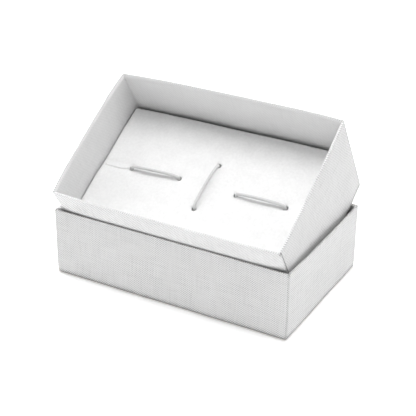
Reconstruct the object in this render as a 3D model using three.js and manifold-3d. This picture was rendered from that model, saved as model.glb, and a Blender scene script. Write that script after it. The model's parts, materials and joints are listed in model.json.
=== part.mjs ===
// Two-piece set-up gift box for jewellery, in millimetres, +Z up.
// The shallow lid stands mouth up and the deeper tray leans in it, showing its pad.
// Origin: centre of the lid's underside. +X runs along the long side, -Y is the front.
import * as THREE from 'three';
import { mergeVertices } from 'three/addons/utils/BufferGeometryUtils.js';
import Module from 'manifold-3d';

// ---- driving dimensions -------------------------------------------------------------------
const LID = { width: 90, depth: 56.3, height: 24.9, turnIn: 16 };
const TRAY = { width: 86.2, depth: 53.7, height: 37.6, turnIn: 20 };
const TILT = THREE.MathUtils.degToRad(32);      // lean of the tray, back edge up
const BOARD = 0.7;                              // greyboard thickness
const PAPER = 0.15;                             // embossed wrapping paper
const STAY = 0.1;                               // gummed corner tape
const LINING = 0.1;                             // sheet glued on the lid's inner floor
const GLUE = 0.02;                              // glue line between two glued layers
const REST_GAP = 0.3;                           // clearance where pieces rest on each other

const WALL = PAPER + GLUE + STAY + GLUE + BOARD + GLUE + PAPER;
const OUTER_LAYERS = PAPER + GLUE + STAY + GLUE;            // from the outside to the board
const FLOOR_TOP = PAPER + GLUE + BOARD;                     // top of the board's floor panel
const STAY_LEG = 9;                                         // tape width on each wall

const PAD = { width: 82.6, front: 1.7, back: 51.2, top: 22 };   // front, back: from tray front
const FLOCK = 0.4;                              // flocked cover sheet
const FOAM = 5;                                 // foam slab
const CARD = 0.5;                               // folded card of the platform
const FIT = 0.05;                               // clearance between the insert's layers
const PLATFORM_INSET = 0.3;                     // platform skirt behind the pad's outline
const CORNER_NOTCH = 1.2;                       // open corners between the platform's flaps

const CORD_DIAMETER = 1;
const HOLE_DIAMETER = 1.7;
const BARB = { length: 6.4, height: 1.1, width: 1.3, collar: 1.9, rise: 1.3, slack: 2.4 };
const SLIT_WIDTH = 0.4;

// Hole centres of the three elastic loops, x and y from the middle of the tray.
const LOOPS = {
  left: [[-30.1, -1.2], [-11.2, -0.6]],
  middle: [[0.6, 8.0], [-0.3, -10.4]],
  right: [[11.8, -1.5], [30.4, -1.5]],
};
// Half of a loop's route: distance from its hole towards the other, height over the pad.
const LOOP_ROUTE = [
  [0, -9.4], [0, -7], [0, -4.5], [0, -2.2], [0.06, -0.9], [0.42, 0.16],
  [1.35, 0.72], [3.2, 1.0], [6.0, 1.2],
];
const LOOP_CROWN = 1.3;                         // height of the cord's middle over the pad
// Chain slit, from the pad's left side to the left loop's first hole.
const SLIT_ROUTE = [[-42, -2.4], [-37, -2.7], [-34.3, -2.7], [-30.1, -1.2]];

// ---- derived places -----------------------------------------------------------------------
const TRAY_EDGE_Z = FLOOR_TOP + GLUE + LINING + REST_GAP;   // bottom front edge of the tray
const RIM_Y = LID.depth / 2 - WALL;                         // inner edge of the lid's back rim
const TRAY_EDGE_Y = RIM_Y
  - ((LID.height - TRAY_EDGE_Z) * Math.cos(TILT) + REST_GAP) / Math.sin(TILT);
const TRAY_MIDDLE = TRAY.depth / 2;
const FOAM_TOP = PAD.top - FLOCK - FIT;
const FOAM_BOTTOM = FOAM_TOP - FOAM;
const PLATFORM_TOP = FOAM_BOTTOM - FIT;
const PLATFORM_FOOT = FLOOR_TOP + REST_GAP;
const BARB_TOP = PLATFORM_TOP - CARD - BARB.slack;

// ---- materials ----------------------------------------------------------------------------
const plain = (color, roughness, metalness = 0) =>
  new THREE.MeshStandardMaterial({ color, roughness, metalness });
const LINEN_PAPER = plain(0xf2f2f3, 0.7);
const GREYBOARD = plain(0xb9b4aa, 0.9);
const TAPE = plain(0xd9c9a6, 0.8);
const WHITE_PAPER = plain(0xf4f4f2, 0.75);
const WHITE_CARD = plain(0xeeeeea, 0.8);
const WHITE_FOAM = plain(0xf0f0ec, 0.95);
const WHITE_FLOCK = plain(0xf8f8f8, 1);
const WHITE_ELASTIC = plain(0xfafafa, 0.85);
const STEEL = plain(0xb8babd, 0.35, 1);

// ---- solids -------------------------------------------------------------------------------
const wasm = await Module();
wasm.setup();

function solid(geometry) {
  const bare = geometry.clone();
  bare.deleteAttribute('normal');
  bare.deleteAttribute('uv');
  const merged = mergeVertices(bare, 1e-5);
  return new wasm.Manifold(new wasm.Mesh({
    numProp: 3,
    vertProperties: new Float32Array(merged.attributes.position.array),
    triVerts: new Uint32Array(merged.index.array),
  }));
}

function geometryOf(shape) {
  const { vertProperties, triVerts } = shape.getMesh();
  const geometry = new THREE.BufferGeometry();
  geometry.setAttribute('position', new THREE.BufferAttribute(vertProperties, 3));
  geometry.setIndex(new THREE.BufferAttribute(triVerts, 1));
  geometry.computeVertexNormals();
  return geometry;
}

function box([x0, y0, z0], [x1, y1, z1]) {
  const geometry = new THREE.BoxGeometry(x1 - x0, y1 - y0, z1 - z0);
  return solid(geometry.translate((x0 + x1) / 2, (y0 + y1) / 2, (z0 + z1) / 2));
}

// A block over a width x depth outline that is drawn in by inset on all four sides.
function block(size, inset, bottom, top) {
  const x = size.width / 2 - inset;
  const y = size.depth / 2 - inset;
  return box([-x, -y, bottom], [x, y, top]);
}

function post(x, y, radius, bottom, top, segments = 20) {
  const geometry = new THREE.CylinderGeometry(radius, radius, top - bottom, segments);
  return solid(geometry.rotateX(Math.PI / 2).translate(x, y, (bottom + top) / 2));
}

function mesh(name, geometry, material) {
  const piece = new THREE.Mesh(geometry, material);
  piece.name = name;
  return piece;
}

// ---- box pieces, shared by the lid and the tray ---------------------------------------------
// One scored blank: a floor panel with four walls folded up.
function boardBlank(size) {
  const top = size.height - PAPER - GLUE;
  return block(size, OUTER_LAYERS, PAPER + GLUE, top)
    .subtract(block(size, OUTER_LAYERS + BOARD, FLOOR_TOP, size.height));
}

// The wrap covers the underside and the walls, goes over the rim and turns in.
function wrap(size) {
  const turnInEnd = size.height - size.turnIn;
  const boardSpace = block(size, PAPER, PAPER, size.height - PAPER)
    .subtract(block(size, WALL - PAPER, turnInEnd, size.height));
  return block(size, 0, 0, size.height)
    .subtract(block(size, WALL, PAPER, size.height + 1))
    .subtract(boardSpace);
}

// Tape folded round one upright corner of the board; sx and sy pick the corner.
function cornerStay(size, sx, sy) {
  const x = sx * (size.width / 2 - OUTER_LAYERS + GLUE + STAY);
  const y = sy * (size.depth / 2 - OUTER_LAYERS + GLUE + STAY);
  const outline = new THREE.Shape([
    [0, 0], [STAY_LEG, 0], [STAY_LEG, STAY], [STAY, STAY], [STAY, STAY_LEG], [0, STAY_LEG],
  ].map(([u, v]) => new THREE.Vector2(x - sx * u, y - sy * v)));
  const bottom = PAPER + GLUE + 1;
  const height = size.height - PAPER - GLUE - 1 - bottom;
  const geometry = new THREE.ExtrudeGeometry(outline, { depth: height, bevelEnabled: false });
  return geometry.translate(0, 0, bottom);
}

function boxPieces(name, size) {
  const corners = { front_left: [-1, -1], front_right: [1, -1], back_left: [-1, 1], back_right: [1, 1] };
  return [
    mesh(`${name}_board`, geometryOf(boardBlank(size)), GREYBOARD),
    ...Object.entries(corners).map(([corner, [sx, sy]]) =>
      mesh(`${name}_corner_stay_${corner}`, cornerStay(size, sx, sy), TAPE)),
    mesh(`${name}_wrap`, geometryOf(wrap(size)), LINEN_PAPER),
  ];
}

function lidLining() {
  const bottom = FLOOR_TOP + GLUE;
  return block(LID, WALL + REST_GAP, bottom, bottom + LINING);
}

// ---- insert -----------------------------------------------------------------------------------
// The insert is drawn in the tray's frame, whose origin is the middle of the tray's underside.
function padBlock(inset, bottom, top) {
  const x = PAD.width / 2 - inset;
  const front = PAD.front - TRAY_MIDDLE + inset;
  const back = PAD.back - TRAY_MIDDLE - inset;
  return box([-x, front, bottom], [x, back, top]);
}

function cordHoles() {
  return Object.values(LOOPS).flat()
    .map(([x, y]) => post(x, y, HOLE_DIAMETER / 2, 0, PAD.top + 1))
    .reduce((all, hole) => all.add(hole));
}

// A ribbon-shaped cutter that follows the slit's route.
function slitCutter() {
  const route = SLIT_ROUTE.map(([x, y]) => new THREE.Vector2(x, y));
  const side = (offset) => route.map((point, i) => {
    const before = route[Math.max(i - 1, 0)];
    const after = route[Math.min(i + 1, route.length - 1)];
    const along = after.clone().sub(before).normalize();
    return new THREE.Vector2(point.x - along.y * offset, point.y + along.x * offset);
  });
  const outline = new THREE.Shape([...side(-SLIT_WIDTH / 2), ...side(SLIT_WIDTH / 2).reverse()]);
  const depth = PAD.top + 1 - FOAM_BOTTOM + 1;
  const geometry = new THREE.ExtrudeGeometry(outline, { depth, bevelEnabled: false });
  return solid(geometry.translate(0, 0, FOAM_BOTTOM - 1));
}

// Four flaps folded down from a top plate, with open corners between them.
function platform() {
  const inset = PLATFORM_INSET;
  const x = PAD.width / 2 - inset;
  const front = PAD.front - TRAY_MIDDLE + inset;
  const back = PAD.back - TRAY_MIDDLE - inset;
  let shape = padBlock(inset, PLATFORM_FOOT, PLATFORM_TOP)
    .subtract(padBlock(inset + CARD, PLATFORM_FOOT - 1, PLATFORM_TOP - CARD))
    .subtract(cordHoles());
  for (const [cx, cy] of [[-x, front], [x, front], [-x, back], [x, back]]) {
    const reach = CORNER_NOTCH;
    shape = shape.subtract(box(
      [cx - reach, cy - reach, PLATFORM_FOOT - 1],
      [cx + reach, cy + reach, PLATFORM_TOP - CARD],
    ));
  }
  return shape;
}

function foam() {
  return padBlock(FLOCK + FIT, FOAM_BOTTOM, FOAM_TOP).subtract(cordHoles()).subtract(slitCutter());
}

// The flocked sheet lies on the foam and is folded down its four sides.
function flock() {
  return padBlock(0, FOAM_BOTTOM, PAD.top)
    .subtract(padBlock(FLOCK, FOAM_BOTTOM - 1, PAD.top - FLOCK))
    .subtract(cordHoles())
    .subtract(slitCutter());
}

function insertPieces() {
  return [
    mesh('insert_platform', geometryOf(platform()), WHITE_CARD),
    mesh('insert_foam', geometryOf(foam()), WHITE_FOAM),
    mesh('insert_flock', geometryOf(flock()), WHITE_FLOCK),
  ];
}

// ---- elastic loops ----------------------------------------------------------------------------
function loopCurve([[ax, ay], [bx, by]]) {
  const span = Math.hypot(bx - ax, by - ay);
  const across = [...LOOP_ROUTE, [span / 2, LOOP_CROWN],
    ...LOOP_ROUTE.map(([u, rise]) => [span - u, rise]).reverse()];
  return new THREE.CatmullRomCurve3(across.map(([u, rise]) => new THREE.Vector3(
    ax + (bx - ax) * u / span, ay + (by - ay) * u / span, PAD.top + rise)));
}

function cord(ends) {
  const sides = 8;
  const ring = Array.from({ length: sides }, (_, i) => {
    const angle = 2 * Math.PI * i / sides;
    return new THREE.Vector2(Math.cos(angle), Math.sin(angle)).multiplyScalar(CORD_DIAMETER / 2);
  });
  return new THREE.ExtrudeGeometry(new THREE.Shape(ring), {
    steps: 64, extrudePath: loopCurve(ends), bevelEnabled: false,
  });
}

// Steel T-end: a cross bar with a crimp collar that holds the cord's end.
function barb([x, y], [otherX, otherY]) {
  const turn = Math.atan2(otherY - y, otherX - x);
  const top = BARB_TOP;
  const bar = new THREE.CapsuleGeometry(BARB.width / 2, BARB.length - BARB.width, 4, 12)
    .rotateZ(Math.PI / 2)
    .scale(1, 1, BARB.height / BARB.width)
    .rotateZ(turn)
    .translate(x, y, top - BARB.rise - BARB.height / 2);
  const socket = CORD_DIAMETER / 2 + 0.12;
  return solid(bar)
    .add(post(x, y, BARB.collar / 2, top - BARB.rise - BARB.height / 2, top))
    .subtract(post(x, y, socket, top - BARB.rise - 0.1, top + 1));
}

function loopPieces(side, ends) {
  const [first, second] = ends;
  return [
    mesh(`elastic_${side}`, cord(ends), WHITE_ELASTIC),
    mesh(`barb_${side}_a`, geometryOf(barb(first, second)), STEEL),
    mesh(`barb_${side}_b`, geometryOf(barb(second, first)), STEEL),
  ];
}

// ---- assembly ---------------------------------------------------------------------------------
const lid = new THREE.Group();
lid.add(...boxPieces('lid', LID), mesh('lid_lining', geometryOf(lidLining()), WHITE_PAPER));

const trayContents = new THREE.Group();
trayContents.position.y = TRAY_MIDDLE;
trayContents.add(
  ...boxPieces('tray', TRAY),
  ...insertPieces(),
  ...Object.entries(LOOPS).flatMap(([side, ends]) => loopPieces(side, ends)),
);

const tray = new THREE.Group();
tray.position.set(0, TRAY_EDGE_Y, TRAY_EDGE_Z);
tray.rotation.x = TILT;
tray.add(trayContents);

const giftBox = new THREE.Group();
giftBox.add(lid, tray);

export default giftBox;
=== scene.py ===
"""Looks of a small two-piece gift box: linen-embossed paper, flocked pad and elastic loops.

Each box is drawn in its own frame (origin under the middle of its underside), in metres, and
then set in place: the lid stands at the row's origin and the tray leans in it.
"""
import json
import math

import bmesh
import bpy
import numpy as np
from mathutils import Matrix, Vector, geometry, noise


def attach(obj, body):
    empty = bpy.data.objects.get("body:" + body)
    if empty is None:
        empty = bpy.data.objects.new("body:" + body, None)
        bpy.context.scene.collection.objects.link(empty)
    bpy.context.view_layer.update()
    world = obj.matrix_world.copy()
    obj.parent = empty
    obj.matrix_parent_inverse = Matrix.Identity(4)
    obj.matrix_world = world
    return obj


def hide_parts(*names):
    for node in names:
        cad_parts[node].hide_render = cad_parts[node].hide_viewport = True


MM = 0.001

# ---- sizes in metres that the CAD frame doesn't hold -------------------------------------------
PAPER = 0.13 * MM                 # thickness of the wrapping paper
THREAD_PITCH = 0.4 * MM           # between two threads of the embossed weave
WALL = 1.16 * MM                  # board with paper on both sides
BOARD_INSET = 0.29 * MM           # from a wall's outside to its board
BOARD = 0.7 * MM
VERTICAL_RADIUS = 0.4 * MM        # folds of the wrap at the upright corners
INNER_RADIUS = 0.3 * MM           # the same inside the box
BOTTOM_RADIUS = 0.5 * MM
RIM_RADIUS = 0.16 * MM            # the rim's outer edge is crisp
MITRE_DEPTH = 0.3 * MM            # the notch in the rim at each corner
DOME = 0.45 * MM                  # an underside's edges stand this far off the table
FLAP_REACH = 12.5 * MM            # the long sides' flaps go this far round the corners
END_MARGIN = 0.5 * MM             # an end panel stops this short of the corner
FOLD_WIDTH = 0.75 * MM            # how far the grey of an upright fold reaches
SEAM_SHADE_WIDTH = 0.6 * MM             # the same for the painted shade at an end panel's cut edge, where the gap beside it is in shadow
TIP_SHADE_WIDTH = 1.1 * MM              # the same for the painted shade at the rim's corner tips, where the mitre notch is in shadow
FOOT_SHADOW_WIDTH = 0.8 * MM             # the same for the painted contact shadow along the foot of the walls
FOOT_SHADOW = 2.2                   # how dark the painted contact shadow along the foot is
TAPE_CORNER = 0.54 * MM           # the tape's corners are rounded about this far inside

BOXES = {
    # turn_in: how far the sheet is turned down inside the walls
    # rim_drop: how far the rim's inner edge is crushed and rounded down
    # fold_mark: how grey the upright folds are; the tip and seam marks: how dark the painted shade is
    # at the rim's corner tips and along the end panels' cut edges
    # bow: how far the middle of each wall stands out at the rim
    # belly: how far the insert pushes the front wall out, most at half height
    # worn: extra radius at the foot of each upright corner, by the signs of its x and y
    "lid": {
        "turn_in": 16 * MM,
        "belly": 0.0,
        "rim_drop": 0.4 * MM,
        "fold_mark": 0.85,
        "tip_shade": 1.2,
        "seam_shade": 0.4,
        "bow": {"left": 0.25 * MM, "right": 0.5 * MM, "front": -0.15 * MM, "back": 0.2 * MM},
        "worn": {(-1, -1): 1.4 * MM, (1, 1): 1.2 * MM, (1, -1): 0.3 * MM, (-1, 1): 0.8 * MM},
    },
    "tray": {
        "turn_in": 20 * MM,
        "belly": 0.7 * MM,
        "rim_drop": 0.8 * MM,
        "fold_mark": 0.0,
        "tip_shade": 1.6,
        "seam_shade": 1.2,
        "bow": {"left": 1.0 * MM, "right": 0.3 * MM, "front": 0.45 * MM, "back": 0.8 * MM},
        "worn": {(-1, -1): 0.3 * MM, (1, 1): 0.6 * MM, (1, -1): 0.4 * MM, (-1, 1): 0.3 * MM},
    },
}

HOLE_RADIUS = 0.85 * MM
HOLE_SHIFT = 0.2 * MM             # a loop pulls inward and leaves its holes open on the far side
COVER = 0.35 * MM                 # thickness of the flocked cover
COVER_FOLD = 1.1 * MM             # radius of the cover's folded edges
COVER_NOTCH = 0.25 * MM           # cut out at the cover's corners, beyond the fold
EDGE_REACH = 0.35 * MM            # the soft edge reaches this far to the left wall
PAD_BACK = 25 * MM                # from the tray's middle to where the pad's back edge sinks
CORD_RADIUS = 0.5 * MM
BRAID_STRANDS = 8                 # each way round
BRAID_PITCH = 4.4 * MM
BRAID_RELIEF = 0.035 * MM
# Hole centres of the loops, from the middle of the tray, and half of a loop's route as
# distance from its hole and height over the pad. Both repeat the CAD part's.
LOOPS = {
    "left": ((-30.1, -1.2), (-11.2, -0.6)),
    "middle": ((0.6, 8.0), (-0.3, -10.4)),
    "right": ((11.8, -1.5), (30.4, -1.5)),
}
LOOP_ROUTE = (
    (0, -9.4), (0, -7), (0, -4.5), (0, -2.2), (0.06, -0.9), (0.42, 0.16),
    (1.35, 0.72), (3.2, 1.0), (6.0, 1.2),
)
LOOP_CROWN = 1.3
SLIT_ROUTE = ((-42, -2.4), (-37, -2.7), (-34.3, -2.7), (-30.1, -1.2))
SLIT_WIDTH = 0.012 * MM
CORNER_STEPS = 6

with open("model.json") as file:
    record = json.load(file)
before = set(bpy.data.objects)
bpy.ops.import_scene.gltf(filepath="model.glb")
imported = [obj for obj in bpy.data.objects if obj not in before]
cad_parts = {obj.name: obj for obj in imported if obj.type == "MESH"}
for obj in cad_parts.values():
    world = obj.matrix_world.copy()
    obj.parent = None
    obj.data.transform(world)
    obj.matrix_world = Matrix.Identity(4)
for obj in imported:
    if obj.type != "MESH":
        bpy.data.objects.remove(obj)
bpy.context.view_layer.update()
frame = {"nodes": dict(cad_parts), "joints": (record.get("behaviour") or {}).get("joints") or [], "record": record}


# ---- places, worked out from the frame ---------------------------------------------------------
def lean_angle():
    """How far the tray leans, from the direction in which the insert slides out of it."""
    axis = next(j["axis"] for j in frame["joints"] if j["name"] == "insert_lift")
    return math.atan2(-axis[1], axis[2])


LEAN = Matrix.Rotation(lean_angle(), 4, "X")


def node_points(node, matrix):
    return np.array([matrix @ v.co for v in frame["nodes"][node].data.vertices])


def tray_matrix():
    """From the tray's own frame to the row's: the middle of its underside is its origin."""
    points = node_points("tray_wrap", LEAN.inverted())
    low, high = points.min(0), points.max(0)
    return LEAN @ Matrix.Translation(((low[0] + high[0]) / 2, (low[1] + high[1]) / 2, low[2]))


PLACE = {"lid": Matrix.Identity(4), "tray": tray_matrix()}


def local_box(node, box="tray"):
    points = node_points(node, PLACE[box].inverted())
    return Vector(points.min(0)), Vector(points.max(0))


def box_size(box):
    low, high = local_box(f"{box}_wrap", box)
    return high - low


# ---- mesh helpers ------------------------------------------------------------------------------
def new_object(name, points, faces, smooth=True):
    mesh = bpy.data.meshes.new(name)
    mesh.from_pydata([tuple(p) for p in points], [], [tuple(f) for f in faces])
    mesh.validate()
    for polygon in mesh.polygons:
        polygon.use_smooth = smooth
    obj = bpy.data.objects.new(name, mesh)
    bpy.context.scene.collection.objects.link(obj)
    return obj


def move_points(obj, points):
    obj.data.vertices.foreach_set("co", np.asarray(points, np.float32).ravel())
    obj.data.update()


def apply_modifiers(obj):
    depsgraph = bpy.context.evaluated_depsgraph_get()
    mesh = bpy.data.meshes.new_from_object(obj.evaluated_get(depsgraph))
    obj.modifiers.clear()
    obj.data = mesh
    return obj


def thicken(obj, thickness, inward=True):
    """Makes a sheet a thin closed body, with its drawn face kept where it is."""
    modifier = obj.modifiers.new("thickness", "SOLIDIFY")
    modifier.thickness = thickness
    modifier.offset = -1 if inward else 1
    modifier.use_even_offset = False
    return apply_modifiers(obj)


def finish_piece(obj, box, body, material, slot, *replaced):
    """Sets a piece drawn in a box's frame in place, gives it its material, hangs it on its body and hides the CAD
    parts it replaces.
    """
    obj.data.transform(PLACE[box])
    obj.data.materials.clear()
    obj.data.materials.append(material)
    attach(obj, body)
    if replaced:
        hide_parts(*replaced)
    return obj


def arc(center, radius, start, end, steps):
    """Points on a quarter or other arc, angles in degrees."""
    angles = np.radians(np.linspace(start, end, steps + 1))
    return [(center[0] + radius * math.cos(a), center[1] + radius * math.sin(a)) for a in angles]


# ---- the boxes' shape --------------------------------------------------------------------------
def bulge(box, points):
    """Moves points of a box with its walls: the walls stand out between their corners, most at
    the rim, and are a little uneven."""
    size = box_size(box)
    half = np.array([size.x, size.y]) / 2
    bow = BOXES[box]["bow"]
    points = np.array(points, float)
    u = np.clip(points[:, 0] / half[0], -1, 1)
    v = np.clip(points[:, 1] / half[1], -1, 1)
    rise = np.clip(points[:, 2] / size.z, 0, 1) ** 1.2
    near_x = np.clip((np.abs(points[:, 0]) - half[0] + 4 * MM) / (2.5 * MM), 0, 1)
    near_y = np.clip((np.abs(points[:, 1]) - half[1] + 4 * MM) / (2.5 * MM), 0, 1)
    uneven = np.array([noise.noise(Vector(p) / (17 * MM)) for p in points]) * 0.1 * MM
    bow_x = np.where(u < 0, bow["left"], bow["right"]) * (1 - v ** 4)
    bow_y = np.where(v < 0, bow["front"], bow["back"]) * (1 - u ** 4)
    belly = np.where(v < 0, BOXES[box]["belly"], 0) * np.sin(np.pi * rise) * (1 - u ** 14)
    points[:, 0] += np.sign(u) * near_x * (bow_x * rise + uneven * (1 - v ** 8))
    points[:, 1] += np.sign(v) * near_y * (bow_y * rise + belly + uneven * (1 - u ** 8))
    return points


def wall_profile(box):
    """Stations (inset from the outside, height) up a wall, over its rim and down inside."""
    height = box_size(box).z
    drop = BOXES[box]["rim_drop"]
    tuck_height = height - drop * 1.25
    lower = [(BOTTOM_RADIUS - x, z) for x, z in
             arc((0, BOTTOM_RADIUS), BOTTOM_RADIUS, -90, 0, 5)]
    levels = np.linspace(BOTTOM_RADIUS, height - RIM_RADIUS, 15)[1:-1]
    outside = [(0.0, z) for z in levels]
    over = [(RIM_RADIUS - x, z) for x, z in
            arc((0, height - RIM_RADIUS), RIM_RADIUS, 0, 90, 3)]
    span = WALL - RIM_RADIUS
    crushed = [(RIM_RADIUS + span * t, height - drop * t ** 1.5)
               for t in (0.15, 0.35, 0.55, 0.75, 0.9)]
    tuck = [(WALL, tuck_height)]
    turned_in = np.linspace(tuck_height, height - BOXES[box]["turn_in"], 11)[1:]
    inside = [(WALL, z) for z in turned_in]
    return lower + outside + over + crushed + tuck + inside


def ring(half, radii, z, mitre=0.0, counts=(72, 48)):
    """One level of a box's wall: a rectangle with a radius at each corner.

    radii holds the radius at each corner by its signs. The points run anticlockwise from the
    front left corner. mitre lowers the middle of each corner, where the folds meet.
    """
    points = []
    corners = [(-1, -1), (1, -1), (1, 1), (-1, 1)]
    for index, (sx, sy) in enumerate(corners):
        r = radii[(sx, sy)]
        center = (sx * (half[0] - r), sy * (half[1] - r))
        start = 180 + 90 * index
        for step, (x, y) in enumerate(arc(center, r, start, start + 90, CORNER_STEPS)):
            middle = step == CORNER_STEPS // 2
            points.append((x, y, z - (mitre if middle else 0)))
        nx, ny = corners[(index + 1) % 4]
        next_r = radii[(nx, ny)]
        end = (nx * half[0] - (nx * next_r if nx != sx else 0),
               ny * half[1] - (ny * next_r if ny != sy else 0))
        count = counts[0] if nx != sx else counts[1]
        x0, y0, _ = points[-1]
        shares = [0.003, *np.linspace(0, 1, count + 1)[1:-1], 0.997]
        points += [(x0 + (end[0] - x0) * t, y0 + (end[1] - y0) * t, z) for t in shares]
    return points


def mark_folds_and_shade(obj, box, seam=None):
    """Says for each point how much darker the paper is painted: greyer at the upright folds, and painted
    shade along the foot, at the rim's corner tips and, on an end panel, along its cut edges, which run at a
    distance of seam from the middle."""
    size = box_size(box)
    values, inside = [], []
    for x, y, z in (vertex.co for vertex in obj.data.vertices):
        if seam is None:
            gap = math.hypot(abs(x) - size.x / 2, abs(y) - size.y / 2)
            value = BOXES[box]["fold_mark"] * max(0.0, 1 - gap / FOLD_WIDTH)
        else:
            # painted shade along an end panel's cut edge, where the gap beside it is in shadow
            value = BOXES[box]["seam_shade"] * max(0.0, 1 - (seam - abs(y)) / SEAM_SHADE_WIDTH)
        # painted shade at the rim's corner tips, where the mitre notch is in shadow
        tip = math.dist((abs(x), abs(y), z), (size.x / 2, size.y / 2, size.z))
        value = max(value, BOXES[box]["tip_shade"] * (1 - tip / TIP_SHADE_WIDTH))
        outside = max(abs(x) - size.x / 2, abs(y) - size.y / 2) > -0.6 * MM
        if outside:
            # painted contact shadow along the foot of the outer walls
            value = max(value, FOOT_SHADOW * (1 - (z - DOME) / FOOT_SHADOW_WIDTH))
        values.append(value)
        inside.append(0.0 if outside or z < WALL else 1.0)
    for name, layer_values in (("fold", values), ("inside", inside)):
        layer = obj.data.attributes.new(name, "FLOAT", "POINT")
        layer.data.foreach_set("value", layer_values)


def corner_radii(box, inset, z):
    """The fold's radius at each corner, which grows at a worn foot."""
    wear = max(0.0, 1 - z / (3 * MM)) ** 2
    fold = INNER_RADIUS if inset > WALL / 2 else VERTICAL_RADIUS
    return {corner: fold + worn * wear for corner, worn in BOXES[box]["worn"].items()}


def loft(rings, close_first=False, close_last=False):
    """Faces between rings of equal length, as index tuples; a closed end gets one face."""
    count = len(rings[0])
    points = [p for r in rings for p in r]
    faces = []
    for level in range(len(rings) - 1):
        a, b = level * count, (level + 1) * count
        faces += [(a + i, a + (i + 1) % count, b + (i + 1) % count, b + i) for i in range(count)]
    if close_first:
        faces.append(tuple(reversed(range(count))))
    if close_last:
        faces.append(tuple(range(len(points) - count, len(points))))
    return points, faces


def sheet_coordinates(obj, size):
    """UVs in metres on the flat sheet: the underside is its middle and the walls fold out of it.

    The weave then runs on over every fold, as it does on one sheet of paper. Short walls are
    end panels, long walls reach round the corners with their flaps.
    """
    mesh = obj.data
    layer = mesh.uv_layers.new(name="sheet")
    half_x, half_y = size.x / 2, size.y / 2
    rim = size.z
    for polygon in mesh.polygons:
        normal = polygon.normal
        middle = polygon.center
        inner = abs(middle.x) < half_x - WALL * 0.8 and abs(middle.y) < half_y - WALL * 0.8
        flat = abs(normal.z) > 0.7 and middle.z < BOTTOM_RADIUS
        short = abs(normal.x) > abs(normal.y)
        for loop_index in polygon.loop_indices:
            p = mesh.vertices[mesh.loops[loop_index].vertex_index].co
            if flat:
                uv = (p.x, p.y)
            elif short:
                over = 2 * rim - p.z + WALL if inner else p.z
                uv = (half_x + over, p.y)
            else:
                over = 2 * rim - p.z + WALL if inner else p.z
                uv = (p.x, half_y + over)
            layer.data[loop_index].uv = uv
    return obj


def wrap_shell(box):
    """The wrap without its end panels: underside, long walls, their flaps and the turn-in."""
    size = box_size(box)
    half = (size.x / 2 - PAPER, size.y / 2)
    narrow = (WALL - 2 * PAPER) / WALL           # the end walls carry one layer more
    rings = []
    for share in np.linspace(0.08, 1, 12):
        # rings across the underside, out to where the bottom fold begins
        inner_half = ((half[0] - BOTTOM_RADIUS) * share, (half[1] - BOTTOM_RADIUS) * share)
        radii = {c: max(r - BOTTOM_RADIUS, 0.05 * MM) * share
                 for c, r in corner_radii(box, 0, 0).items()}
        rings.append(ring(inner_half, radii, DOME * share ** 4))
    for inset, z in wall_profile(box)[1:]:
        at = (half[0] - inset * narrow, half[1] - inset)
        on_rim = 0 if z < size.z - BOXES[box]["rim_drop"] * 1.2 else MITRE_DEPTH
        dome = DOME * (1 - z / size.z) if inset < WALL / 2 else 0
        rings.append(ring(at, corner_radii(box, inset, z), z + dome, on_rim))
    points, faces = loft(rings, close_first=True)
    obj = new_object(f"{box}_wrap_sheet", points, faces)
    sheet_coordinates(obj, size)
    mark_folds_and_shade(obj, box)
    move_points(obj, bulge(box, points))
    return thicken(obj, PAPER)


def end_panel(box, sign):
    """The part of the sheet that folds up over an end wall, on top of the long sides' flaps."""
    size = box_size(box)
    profile = wall_profile(box)
    reach = size.y / 2 - END_MARGIN
    across = np.r_[-1, -0.992, np.linspace(-0.98, 0.98, 95), 0.992, 1]
    points = []
    for inset, z in profile:
        inside = inset > WALL / 2
        # the inner face is narrower, and the turn-in is cut back at a slant
        slant = max(0.0, (size.z - z) / size.z) * 0.6 * MM if inside else 0
        half_y = reach - (inset + slant if inside else inset * 0.5)
        foot = max(0.0, 1 - z / (2.2 * MM)) ** 2
        dome = 0 if inside else DOME * (1 - z / size.z)
        for t in across:
            worn = BOXES[box]["worn"][(sign, 1 if t > 0 else -1)] * foot
            y = t * (half_y - worn * 0.8)
            flap = np.clip((abs(y) - size.y / 2 + FLAP_REACH) / (0.5 * MM) + 0.5, 0, 1)
            step = (flap * 0.75 - 0.75) * PAPER   # the panel sinks where no flap lies under it
            toward = -step if inside else step
            x = size.x / 2 - inset + toward
            points.append((sign * x, y, z + dome))
    width = len(across)
    faces = []
    for level in range(len(profile) - 1):
        for i in range(width - 1):
            a = level * width + i
            quad = (a, a + 1, a + width + 1, a + width)
            faces.append(quad if sign > 0 else tuple(reversed(quad)))
    side = "right" if sign > 0 else "left"
    obj = new_object(f"{box}_wrap_end_{side}", points, faces)
    sheet_coordinates(obj, size)
    mark_folds_and_shade(obj, box, reach)
    move_points(obj, bulge(box, points))
    return thicken(obj, PAPER * 0.95)


def board_shell(box):
    """The folded greyboard blank, with the same uneven walls as the wrap over it."""
    size = box_size(box)
    top = size.z - BOXES[box]["rim_drop"] * 1.3 - PAPER
    floor = BOARD_INSET - 0.1 * MM + BOARD
    radii = {corner: 0.25 * MM for corner in BOXES[box]["worn"]}
    sharp = {corner: 0.05 * MM for corner in BOXES[box]["worn"]}
    outer = (size.x / 2 - BOARD_INSET, size.y / 2 - BOARD_INSET)
    inner = (outer[0] - BOARD, outer[1] - BOARD)
    low = floor - BOARD
    rings = [ring((outer[0] * s, outer[1] * s), sharp, low) for s in (0.1, 0.5, 0.99)]
    rings += [ring(outer, radii, z) for z in np.linspace(low + 0.1 * MM, top, 12)]
    rings += [ring(inner, sharp, z) for z in np.linspace(top, floor, 12)]
    rings += [ring((inner[0] * s, inner[1] * s), sharp, floor) for s in (0.97, 0.5, 0.1)]
    points, faces = loft(rings, close_first=True, close_last=True)
    return new_object(f"{box}_greyboard", bulge(box, points), faces, smooth=False)


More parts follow.
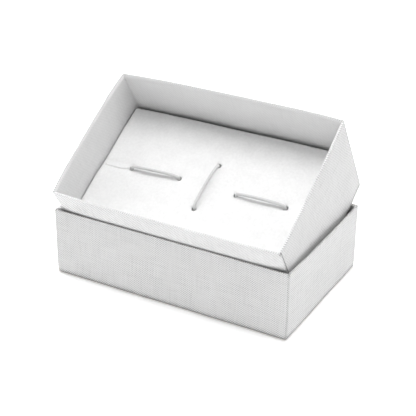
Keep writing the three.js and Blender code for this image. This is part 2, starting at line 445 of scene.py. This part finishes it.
# ---- materials ---------------------------------------------------------------------------------
class Shader:
    """A material under construction, with one short call for each kind of node."""

    def __init__(self, name, color, roughness, metallic=0.0, **sockets):
        self.material = bpy.data.materials.new(name)
        self.material.use_nodes = True
        self.nodes = self.material.node_tree.nodes
        self.links = self.material.node_tree.links
        self.surface = self.nodes["Principled BSDF"]
        self.surface.inputs["Base Color"].default_value = (*color, 1)
        self.surface.inputs["Roughness"].default_value = roughness
        self.surface.inputs["Metallic"].default_value = metallic
        for socket, value in sockets.items():
            self.surface.inputs[socket.replace("_", " ")].default_value = value

    def put(self, value, socket):
        if isinstance(value, bpy.types.NodeSocket):
            self.links.new(value, socket)
        elif value is not None:
            socket.default_value = value

    def math(self, operation, a, b=None):
        node = self.nodes.new("ShaderNodeMath")
        node.operation = operation
        self.put(a, node.inputs[0])
        self.put(b, node.inputs[1])
        return node.outputs[0]

    def add(self, a, b):
        return self.math("ADD", a, b)

    def times(self, a, b):
        return self.math("MULTIPLY", a, b)

    def position(self):
        return self.nodes.new("ShaderNodeTexCoord").outputs["Object"]

    def attribute(self, name):
        node = self.nodes.new("ShaderNodeAttribute")
        node.attribute_name = name
        return node.outputs["Fac"]

    def sheet(self):
        node = self.nodes.new("ShaderNodeUVMap")
        node.uv_map = "sheet"
        parts = self.nodes.new("ShaderNodeSeparateXYZ")
        self.links.new(node.outputs[0], parts.inputs[0])
        return parts.outputs[0], parts.outputs[1]

    def vector(self, x, y, z=0.0):
        node = self.nodes.new("ShaderNodeCombineXYZ")
        for value, socket in zip((x, y, z), node.inputs):
            self.put(value, socket)
        return node.outputs[0]

    def noise(self, vector, size, detail=2.0, rough=0.5):
        """Noise from 0 to 1 whose features are about size across, in metres."""
        node = self.nodes.new("ShaderNodeTexNoise")
        self.links.new(vector, node.inputs["Vector"])
        node.inputs["Scale"].default_value = 1 / size
        node.inputs["Detail"].default_value = detail
        node.inputs["Roughness"].default_value = rough
        return node.outputs["Fac"]

    def cells(self, vector, size):
        node = self.nodes.new("ShaderNodeTexVoronoi")
        self.links.new(vector, node.inputs["Vector"])
        node.inputs["Scale"].default_value = 1 / size
        return node.outputs["Distance"]

    def ramp(self, value, *stops):
        """Maps 0 to 1 through (position, grey or colour) stops."""
        node = self.nodes.new("ShaderNodeValToRGB")
        self.links.new(value, node.inputs[0])
        elements = node.color_ramp.elements
        for index, (place, color) in enumerate(stops):
            element = elements[index] if index < 2 else elements.new(place)
            element.position = place
            element.color = (*color, 1) if isinstance(color, tuple) else (color, color, color, 1)
        return node.outputs[0]

    def relief(self, height, depth, strength=1.0):
        """Bump whose whole range is depth, in metres."""
        node = self.nodes.new("ShaderNodeBump")
        node.inputs["Strength"].default_value = strength
        node.inputs["Distance"].default_value = depth
        self.links.new(height, node.inputs["Height"])
        self.links.new(node.outputs[0], self.surface.inputs["Normal"])

    def color(self, output):
        self.links.new(output, self.surface.inputs["Base Color"])

    def roughness(self, output):
        self.links.new(output, self.surface.inputs["Roughness"])


def linen_paper():
    """White paper embossed with a plain weave, whose threads pass over each other by turns."""
    s = Shader("linen_paper", (0.75, 0.75, 0.75), 0.6, Specular_IOR_Level=0.3)
    u, v = s.sheet()
    flat = s.vector(u, v)
    sway = s.times(s.add(s.noise(flat, 9 * MM), -0.5), 0.35 * MM)
    u, v = s.add(u, sway), s.add(v, sway)
    wave_u = s.math("SINE", s.times(u, math.pi / THREAD_PITCH))
    wave_v = s.math("SINE", s.times(v, math.pi / THREAD_PITCH))
    over = s.times(wave_u, wave_v)               # above 0 where the upright thread is on top
    upright = s.times(s.math("POWER", s.math("ABSOLUTE", wave_u), 0.6),
                      s.add(s.times(over, 0.5), 0.5))
    level = s.times(s.math("POWER", s.math("ABSOLUTE", wave_v), 0.6),
                    s.add(s.times(over, -0.5), 0.5))
    weave = s.math("MAXIMUM", upright, level)
    slub_u = s.noise(s.vector(u, s.times(v, 0.06)), 0.55 * MM, 1.0)
    slub_v = s.noise(s.vector(s.times(u, 0.06), v), 0.55 * MM, 1.0)
    slubs = s.add(slub_u, slub_v)
    grain = s.noise(flat, 0.1 * MM, 3.0)
    height = s.add(s.times(weave, s.add(s.times(slubs, 0.6), 0.4)), s.times(grain, 0.1))
    s.relief(height, 0.045 * MM)
    cloud = s.noise(flat, 12 * MM, 3.0)
    # the weave is pressed flatter where the sheet is turned in
    contrast = s.add(0.58, s.times(s.attribute("inside"), -0.33))
    # painted shade of the embossed relief: the valleys between the threads are painted darker than the crests, and
    # the crossings where the upright thread lies on top lighter than the others; the slubs and the faint cloud are
    # the paper's own tone
    threads = s.add(s.times(over, contrast), s.times(slubs, 0.2))
    tone = s.add(s.add(s.times(weave, 0.35), threads), s.times(cloud, 0.12))
    # the fold attribute darkens the paper: painted contact shadow along the foot, painted shade at the rim's
    # corner tips and the end panels' cut edges, and greyer upright folds
    shade_and_fold_grey = s.times(s.math("POWER", s.attribute("fold"), 2.0), -0.5)
    shades = ((0.0, 0.2), (0.12, 0.56), (0.34, 0.7), (0.8, 0.84))
    s.color(s.ramp(s.add(tone, shade_and_fold_grey), *shades))
    return s.material


def greyboard():
    s = Shader("greyboard", (0.45, 0.43, 0.4), 0.9)
    place = s.position()
    fibres = s.noise(place, 0.5 * MM, 5.0, 0.7)
    specks = s.noise(place, 1.4 * MM, 2.0)
    mixed = s.add(s.times(fibres, 0.6), s.times(specks, 0.4))
    dark, middle, pale = (0.30, 0.29, 0.27), (0.46, 0.44, 0.41), (0.62, 0.6, 0.56)
    s.color(s.ramp(mixed, (0.3, dark), (0.5, middle), (0.72, pale)))
    s.relief(fibres, 0.06 * MM)
    return s.material


def plain_paper(name, color):
    s = Shader(name, color, 0.8)
    place = s.position()
    fibres = s.noise(place, 0.25 * MM, 4.0, 0.65)
    dark = tuple(c * 0.93 for c in color)
    s.color(s.ramp(fibres, (0.35, dark), (0.6, color)))
    s.relief(fibres, 0.02 * MM)
    return s.material


def gummed_tape():
    s = Shader("gummed_tape", (0.62, 0.5, 0.33), 0.75)
    place = s.position()
    fibres = s.noise(place, 0.4 * MM, 4.0, 0.7)
    s.color(s.ramp(fibres, (0.3, (0.52, 0.41, 0.26)), (0.7, (0.68, 0.56, 0.38))))
    s.relief(fibres, 0.02 * MM)
    return s.material


def foam_material():
    s = Shader("white_foam", (0.86, 0.86, 0.84), 0.95)
    place = s.position()
    cells = s.cells(place, 0.45 * MM)
    fine = s.cells(place, 0.2 * MM)
    pores = s.add(s.times(cells, 0.7), s.times(fine, 0.3))
    # the pores' hollows are painted darker: painted shade in the pores
    s.color(s.ramp(pores, (0.05, 0.6), (0.45, 0.88)))
    s.relief(pores, 0.15 * MM)
    return s.material


def flock_material():
    """Dense short fibres: matt and soft, with faint clumps where the fibres lean together."""
    s = Shader("white_flock", (0.86, 0.86, 0.86), 1.0, Sheen_Weight=0.35, Sheen_Roughness=0.6,
               Specular_IOR_Level=0.1)
    place = s.position()
    fibres = s.noise(place, 0.13 * MM, 3.0, 0.7)
    tufts = s.noise(place, 0.9 * MM, 3.0, 0.6)
    cloud = s.noise(place, 5 * MM, 3.0)
    height = s.add(s.times(fibres, 0.45), s.times(tufts, 0.55))
    s.relief(height, 0.07 * MM)
    tone = s.add(s.times(tufts, 0.5), s.add(s.times(fibres, 0.25), s.times(cloud, 0.25)))
    s.color(s.ramp(tone, (0.32, 0.81), (0.62, 0.9)))
    return s.material


def elastic_material():
    s = Shader("white_elastic", (0.58, 0.58, 0.58), 0.75, Specular_IOR_Level=0.3)
    place = s.position()
    yarn = s.noise(place, 0.08 * MM, 2.0)
    s.color(s.ramp(yarn, (0.3, 0.58), (0.6, 0.73)))
    s.relief(yarn, 0.02 * MM)
    return s.material


def steel_material():
    s = Shader("barb_steel", (0.6, 0.61, 0.62), 0.32, 1.0)
    place = s.position()
    scratches = s.noise(place, 0.3 * MM, 4.0, 0.7)
    s.color(s.ramp(scratches, (0.3, 0.5), (0.7, 0.68)))
    s.roughness(s.ramp(scratches, (0.3, 0.26), (0.7, 0.45)))
    return s.material


PAINT = {
    "linen_paper": linen_paper(),
    "greyboard": greyboard(),
    "gummed_tape": gummed_tape(),
    "lining_paper": plain_paper("lining_paper", (0.88, 0.88, 0.87)),
    "white_card": plain_paper("white_card", (0.84, 0.84, 0.82)),
    "foam": foam_material(),
    "flock": flock_material(),
    "elastic_cord": elastic_material(),
    "barb_steel": steel_material(),
}


def paint_cad_nodes():
    """Every CAD node gets its slot's material; the ones that pieces replace are hidden where those pieces are
    finished.
    """
    for row in frame["record"]["subparts"]:
        node = frame["nodes"][row["node"]]
        node.data.materials.clear()
        node.data.materials.append(PAINT[row["material_slot"]])


# ---- the insert --------------------------------------------------------------------------------
def distance_to_route(p, route):
    """Distance from a point to a route of points, and on which side it lies."""
    best, side = 1e9, 1
    for (ax, ay), (bx, by) in zip(route, route[1:]):
        dx, dy = bx - ax, by - ay
        t = ((p[0] - ax) * dx + (p[1] - ay) * dy) / (dx * dx + dy * dy)
        t = min(max(t, 0), 1)
        ex, ey = p[0] - ax - t * dx, p[1] - ay - t * dy
        gap = math.hypot(ex, ey)
        if gap < best:
            best = gap
            side = 1 if dx * ey - dy * ex > 0 else -1
    return best, side


SLIT = [(x * MM, y * MM) for x, y in SLIT_ROUTE]


def hole_centers():
    centers = []
    for ends in LOOPS.values():
        first, last = (Vector(end) * MM for end in ends)
        out = (first - last).normalized() * HOLE_SHIFT
        centers += [tuple(first + out), tuple(last - out)]
    return centers


HOLES = hole_centers()


def circle(center, radius, count):
    return [(center[0] + radius * math.cos(2 * math.pi * i / count),
             center[1] + radius * math.sin(2 * math.pi * i / count)) for i in range(count)]


def slit_outline():
    """A narrow closed shape along the slit, past the pad's edge and into the first hole."""
    route = [Vector(p) for p in SLIT]
    fine = []
    for a, b in zip(route, route[1:]):
        fine += [a.lerp(b, t) for t in np.linspace(0, 1, 9)[:-1]]
    fine.append(route[-1])
    left, right = [], []
    for i, point in enumerate(fine):
        along = (fine[min(i + 1, len(fine) - 1)] - fine[max(i - 1, 0)]).normalized()
        offset = Vector((-along.y, along.x)) * SLIT_WIDTH / 2
        left.append(tuple(point + offset))
        right.append(tuple(point - offset))
    return left + right[::-1]


def inside_polygon(points, polygon):
    """Which of the points lie inside a closed polygon, as an array of truth values."""
    inside = np.zeros(len(points), bool)
    x, y = points[:, 0], points[:, 1]
    for (ax, ay), (bx, by) in zip(polygon, polygon[1:] + polygon[:1]):
        if ay != by:
            crosses = ((ay > y) != (by > y)) & (x < (bx - ax) * (y - ay) / (by - ay) + ax)
            inside ^= crosses
    return inside


def near_holes(points, radius):
    return np.min([np.hypot(points[:, 0] - x, points[:, 1] - y) for x, y in HOLES], 0) < radius


def cut_sheet(outline, slit, spacing, seed):
    """Triangles of a flat sheet with the cord holes and slit cut out: (points, faces)."""
    rng = np.random.default_rng(seed)
    points, edges = [], []
    holes = [circle(c, HOLE_RADIUS, 28) for c in HOLES]
    for loop in [outline, *holes, slit]:
        start = len(points)
        points += loop
        count = len(loop)
        edges += [(start + i, start + (i + 1) % count) for i in range(count)]
    low, high = np.min(outline, 0), np.max(outline, 0)
    xs = np.arange(low[0] + spacing, high[0], spacing)
    ys = np.arange(low[1] + spacing, high[1], spacing)
    grid = np.stack(np.meshgrid(xs, ys), -1).reshape(-1, 2)
    grid += rng.uniform(-0.25, 0.25, grid.shape) * spacing
    on_slit = np.array([distance_to_route(p, SLIT)[0] for p in grid]) < spacing * 0.4
    grid = grid[~on_slit & ~near_holes(grid, HOLE_RADIUS + spacing * 0.5)]
    points += [tuple(p) for p in grid]
    verts, _, faces, *_ = geometry.delaunay_2d_cdt([Vector(p) for p in points], edges, [], 0, 1e-8)
    verts = np.array(verts)
    middles = np.array([verts[list(f)].mean(0) for f in faces])
    kept = inside_polygon(middles, outline) & ~near_holes(middles, HOLE_RADIUS * 0.97)
    kept &= ~inside_polygon(middles, slit)
    return verts.tolist(), [tuple(f) for f, keep in zip(faces, kept) if keep]


def cross_outline(half, drop, notch, step):
    """Flat cut of a sheet whose four flaps fold down: a rectangle with its corners cut out."""
    (x, y), r = half, notch
    corners = [(-x - drop, -y + r), (-x + r, -y + r), (-x + r, -y - drop), (x - r, -y - drop),
               (x - r, -y + r), (x + drop, -y + r), (x + drop, y - r), (x - r, y - r),
               (x - r, y + drop), (-x + r, y + drop), (-x + r, y - r), (-x - drop, y - r)]
    outline = []
    for a, b in zip(corners, corners[1:] + corners[:1]):
        count = max(1, int(math.dist(a, b) / step))
        outline += [(a[0] + (b[0] - a[0]) * i / count, a[1] + (b[1] - a[1]) * i / count)
                    for i in range(count)]
    return outline


def fold_over(distance, edge, radius):
    """Where a point at distance from the middle lands once the sheet folds down at edge."""
    start = edge - radius
    size, sign = abs(distance), math.copysign(1, distance)
    if size <= start:
        return distance, 0.0
    bend = (size - start) / radius
    if bend < math.pi / 2:
        return sign * (start + radius * math.sin(bend)), radius * (1 - math.cos(bend))
    return sign * edge, radius + (size - start - radius * math.pi / 2)


def folded_sheet(name, low, high, radius, notch, thickness, spacing):
    """The cross-shaped cover, folded over a block from low to high."""
    middle = ((low.x + high.x) / 2, (low.y + high.y) / 2)
    half = ((high.x - low.x) / 2, (high.y - low.y) / 2)
    drop = high.z - low.z - radius + radius * math.pi / 2 - radius
    outline = cross_outline(half, drop, notch, spacing)
    outline = [(x + middle[0], y + middle[1]) for x, y in outline]
    flat, faces = cut_sheet(outline, slit_outline(), spacing, 7)
    points = []
    for x, y in flat:
        px, drop_x = fold_over(x - middle[0], half[0], radius)
        py, drop_y = fold_over(y - middle[1], half[1], radius)
        points.append((px + middle[0], py + middle[1],
                       high.z - drop_x - drop_y + pad_relief(x, y)))
    return thicken(new_object(name, points, faces), thickness), half, drop


def pad_relief(x, y):
    """How far the soft pad's surface lies from flat: dimples at the holes, the slit's lips."""
    lift = 0.14 * MM * noise.noise(Vector((x, y, 0)) / (11 * MM))
    lift += 0.05 * MM * noise.noise(Vector((x, y, 1)) / (2.4 * MM))
    lift += 0.035 * MM * noise.noise(Vector((x, y, 2)) / (0.7 * MM))
    for center in HOLES:
        gap = max(0.0, math.dist((x, y), center) - HOLE_RADIUS)
        lift -= 0.5 * MM * math.exp(-gap / (0.8 * MM)) + 0.12 * MM * math.exp(-gap / (4 * MM))
    gap, side = distance_to_route((x, y), SLIT)
    lift += (0.03 * MM if side > 0 else -0.03 * MM) * math.exp(-gap / (3.5 * MM))
    lift -= 0.04 * MM * math.exp(-gap / (0.6 * MM))
    # the foam in front of the slit swells against the left wall, the foam behind it sinks
    edge = math.exp(-((x + 41 * MM) / (9 * MM)) ** 2)
    along = max(-1.0, min(1.0, (y + 2 * MM) / (5 * MM)))
    lift -= edge * along * (0.25 * MM if y > 0 else 0.6 * MM)
    # the back edge is pressed down a little by its fold
    lift -= 0.4 * MM * math.exp(-max(0.0, PAD_BACK - y) / (2.5 * MM))
    return lift


def make_flock():
    low, high = local_box("insert_flock")
    low.x -= EDGE_REACH
    flock, half, drop = folded_sheet(
        "insert_flock_cover", low, high, COVER_FOLD, COVER_NOTCH, COVER,
        0.5 * MM)
    move_points(flock, bulge("tray", [v.co for v in flock.data.vertices]))
    finish_piece(flock, "tray", "insert", PAINT["flock"], "flock", "insert_flock")


def local_copy(node, name, box="tray"):
    """A new object with a CAD node's shape, in its box's frame."""
    obj = bpy.data.objects.new(name, frame["nodes"][node].data.copy())
    obj.data.transform(PLACE[box].inverted())
    bpy.context.scene.collection.objects.link(obj)
    return obj


def clear_of_holes(point):
    """Pushes a point of the foam out of the cover's holes, which the cords have torn wider."""
    for x, y in HOLES:
        away = Vector((point.x - x, point.y - y))
        if 0 < away.length < HOLE_RADIUS * 1.05:
            away *= HOLE_RADIUS * 1.05 / away.length
            return Vector((x + away.x, y + away.y, point.z))
    return point


def make_foam():
    """The cut foam slab: open pores all over it, and edges a little rounded by the cover."""
    foam = local_copy("insert_foam", "insert_foam_slab")
    remesh = foam.modifiers.new("even", "REMESH")
    remesh.mode = "VOXEL"
    remesh.voxel_size = 0.5 * MM
    apply_modifiers(foam)
    normals = [Vector(v.normal) for v in foam.data.vertices]
    points = []
    for vertex, normal in zip(foam.data.vertices, normals):
        pores = noise.noise(vertex.co / (0.8 * MM)) + 0.6 * noise.noise(vertex.co / (0.35 * MM))
        point = vertex.co - normal * (0.06 * MM + 0.05 * MM * pores)
        points.append(clear_of_holes(point))
    move_points(foam, points)
    finish_piece(foam, "tray", "insert", PAINT["foam"], "foam", "insert_foam")


def smooth_route(points, steps):
    """Points on a Catmull-Rom curve through the given ones."""
    padded = [points[0] * 2 - points[1], *points, points[-1] * 2 - points[-2]]
    fine = []
    for a, b, c, d in zip(padded, padded[1:], padded[2:], padded[3:]):
        for t in np.linspace(0, 1, steps, endpoint=False):
            fine.append(0.5 * (2 * b + (c - a) * t + (2 * a - 5 * b + 4 * c - d) * t * t
                               + (3 * b - a - 3 * c + d) * t ** 3))
    fine.append(points[-1])
    return fine


def even_route(points, step):
    """The same route with its points a fixed step apart."""
    route = np.array(points)
    lengths = np.r_[0, np.cumsum(np.linalg.norm(np.diff(route, axis=0), axis=1))]
    count = int(lengths[-1] / step)
    at = np.linspace(0, lengths[-1], count + 1)
    return np.column_stack([np.interp(at, lengths, route[:, i]) for i in range(3)]), at


def loop_route(ends, top):
    """A loop's centreline in the tray's frame: up through one hole, over, and down the other."""
    first, last = (Vector((x * MM, y * MM, top)) for x, y in ends)
    along = (last - first).normalized()
    rise = Vector((0, 0, 1))
    start = [first + along * d * MM + rise * h * MM for d, h in LOOP_ROUTE]
    end = [last - along * d * MM + rise * h * MM for d, h in LOOP_ROUTE]
    crown = (first + last) / 2 + rise * LOOP_CROWN * MM
    return [*start, crown, *reversed(end)]


def braided_tube(name, route, lengths):
    """A round braid: strands wind both ways and pass over and under each other."""
    around = 40
    side = Vector((0, 0, 1)).cross(Vector(route[-1] - route[0])).normalized()
    rings = []
    for index, (point, s) in enumerate(zip(route, lengths)):
        ahead = Vector(route[min(index + 1, len(route) - 1)])
        behind = Vector(route[max(index - 1, 0)])
        tangent = (ahead - behind).normalized()
        up = side.cross(tangent).normalized()
        turn = 2 * math.pi * s / BRAID_PITCH
        level = []
        for k in range(around):
            angle = 2 * math.pi * k / around
            right = math.cos(BRAID_STRANDS / 2 * (angle + turn))
            left = math.cos(BRAID_STRANDS / 2 * (angle - turn))
            radius = CORD_RADIUS + BRAID_RELIEF * (abs(right) + abs(left) - right * left - 1)
            level.append(Vector(point) + (side * math.cos(angle) + up * math.sin(angle)) * radius)
        rings.append(level)
    points, faces = loft(rings, close_first=True, close_last=True)
    return new_object(name, points, faces)


def make_loops():
    top = local_box("insert_flock")[1].z
    for name, ends in LOOPS.items():
        fine = smooth_route(loop_route(ends, top), 12)
        route, lengths = even_route(fine, 0.12 * MM)
        cord = braided_tube(f"elastic_{name}_cord", route, lengths)
        finish_piece(cord, "tray", f"loop_{name}", PAINT["elastic_cord"], "elastic_cord",
                     f"elastic_{name}")


def round_corner(point, box):
    """Rounds a square outer corner of the tape, so that it stays inside the wrap's fold."""
    size = box_size(box)
    center = (size.x / 2 - TAPE_CORNER, size.y / 2 - TAPE_CORNER)
    out_x, out_y = abs(point.x) - center[0], abs(point.y) - center[1]
    if min(out_x, out_y) <= 0:
        return point
    share = max(out_x, out_y) / math.hypot(out_x, out_y)
    return Vector((math.copysign(center[0] + out_x * share, point.x),
                   math.copysign(center[1] + out_y * share, point.y), point.z))


def make_stay(box, corner):
    """Gummed tape round a corner of the board. It follows the board's uneven walls."""
    node = f"{box}_corner_stay_{corner}"
    stay = local_copy(node, f"{node}_tape", box)
    cuts = bmesh.new()
    cuts.from_mesh(stay.data)
    for _ in range(2):
        long_edges = [e for e in cuts.edges if e.calc_length() > 2 * MM]
        bmesh.ops.subdivide_edges(cuts, edges=long_edges, cuts=2, use_grid_fill=True)
    cuts.to_mesh(stay.data)
    cuts.free()
    rounded = [round_corner(v.co, box) for v in stay.data.vertices]
    move_points(stay, bulge(box, rounded))
    finish_piece(stay, box, box, PAINT["gummed_tape"], "gummed_tape", node)


# ---- camera, light and floor -------------------------------------------------------------------
def make_camera():
    azimuth, elevation, roll = (math.radians(a) for a in (28.76, 27.02, 0.65))
    distance, target = 410.8 * MM, Vector((0.23, 0, 24.63)) * MM
    back = Vector((math.sin(azimuth) * math.cos(elevation),
                   -math.cos(azimuth) * math.cos(elevation), math.sin(elevation)))
    right = Vector((0, 0, 1)).cross(back).normalized()
    up = back.cross(right)
    turned_right = right * math.cos(roll) + up * math.sin(roll)
    turned_up = up * math.cos(roll) - right * math.sin(roll)
    matrix = Matrix((turned_right, turned_up, back)).transposed().to_4x4()
    matrix.translation = target + back * distance
    data = bpy.data.cameras.new("camera")
    data.lens = 102.05
    data.sensor_width = 36
    data.clip_start = 0.01
    camera = bpy.data.objects.new("camera", data)
    camera.matrix_world = matrix
    bpy.context.scene.collection.objects.link(camera)
    bpy.context.scene.camera = camera


def area_light(name, place, size, watts, target=(0, 0, 0.03)):
    data = bpy.data.lights.new(name, "AREA")
    data.shape = "RECTANGLE"
    data.size, data.size_y = size
    data.energy = watts
    light = bpy.data.objects.new(name, data)
    light.location = place
    light.rotation_euler = (Vector(target) - Vector(place)).to_track_quat("-Z", "Y").to_euler()
    bpy.context.scene.collection.objects.link(light)


def make_light():
    world = bpy.data.worlds.new("studio")
    world.use_nodes = True
    background = world.node_tree.nodes["Background"]
    background.inputs["Color"].default_value = (1, 1, 1, 1)
    background.inputs["Strength"].default_value = 0.03
    bpy.context.scene.world = world
    large, small = (0.7, 0.7), (0.5, 0.5)
    area_light("overhead", (0, 0, 1.0), small, 5.2)
    area_light("back_left", (-0.45, 0.45, 0.95), large, 2.2)
    area_light("back_right", (0.45, 0.45, 0.95), large, 2.7)
    area_light("left_high", (-0.8, 0, 0.8), large, 4.6)
    area_light("left_low", (-1.0, 0, 0.35), small, 2.3)
    area_light("right_high", (0.8, 0, 0.8), large, 2.6)
    area_light("front_low", (0, -1.0, 0.35), small, 0.8)


def make_floor():
    """A round pale floor and, far behind it, a low pale backdrop all the way round."""
    radius, height, sides = 3.0, 0.75, 96
    rim = circle((0, 0), radius, sides)
    foot = [(x, y, -0.02 * MM) for x, y in rim]
    surface = Shader("floor", (0.96, 0.96, 0.96), 0.9, Emission_Color=(1, 1, 1, 1),
                     Emission_Strength=0.3)
    floor = new_object("floor", foot, [tuple(range(sides))], smooth=False)
    floor.data.materials.append(surface.material)
    glow = Shader("backdrop", (0.8, 0.8, 0.8), 0.9, Emission_Color=(1, 1, 1, 1),
                  Emission_Strength=0.6)
    top = [(x, y, height) for x, y in rim]
    points, faces = loft([foot, top])
    backdrop = new_object("backdrop", points, faces)
    backdrop.data.materials.append(glow.material)


make_camera()
make_loops()
paint_cad_nodes()
for box_name in BOXES:
    finish_piece(wrap_shell(box_name), box_name, box_name, PAINT["linen_paper"],
                 "linen_paper", f"{box_name}_wrap")
    for end_sign in (-1, 1):
        finish_piece(end_panel(box_name, end_sign), box_name, box_name,
                     PAINT["linen_paper"], "linen_paper")
    finish_piece(board_shell(box_name), box_name, box_name, PAINT["greyboard"],
                 "greyboard", f"{box_name}_board")
    for corner_name in ("front_left", "front_right", "back_left", "back_right"):
        make_stay(box_name, corner_name)
make_foam()
make_flock()
make_light()
make_floor()
bpy.context.scene.view_settings.view_transform = "Standard"
